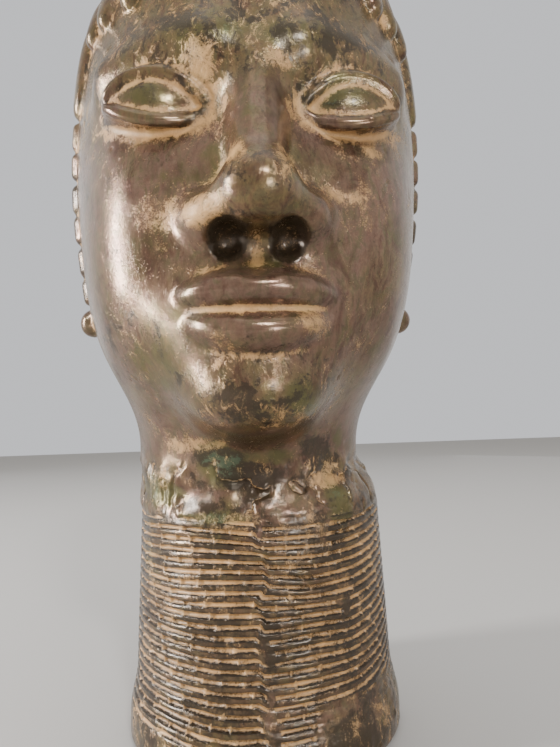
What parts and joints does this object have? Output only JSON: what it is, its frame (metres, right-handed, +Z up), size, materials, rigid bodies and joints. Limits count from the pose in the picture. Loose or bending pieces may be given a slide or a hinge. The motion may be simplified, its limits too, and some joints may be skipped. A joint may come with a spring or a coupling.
{
  "type": "cast bronze head sculpture",
  "caption": "Hollow cast bronze head with tiered hair locks and rolled eyelids on a tall neck wrapped in bead rows, standing on a flat round foot.",
  "frame": {"origin": "centre of the flat round underside of the foot", "axes": "+Z up through the neck to the crown, -Y out of the face, +X to the head's left, which is the viewer's right"},
  "size_m": [0.1533, 0.2051, 0.346],
  "materials": {
    "bronze": "polished brown cast bronze with earth-coloured deposits in the recesses, dark lines and olive patches"
  },
  "bodies": {
    "root": {"bronze_head": "bronze"}
  },
  "joints": []
}
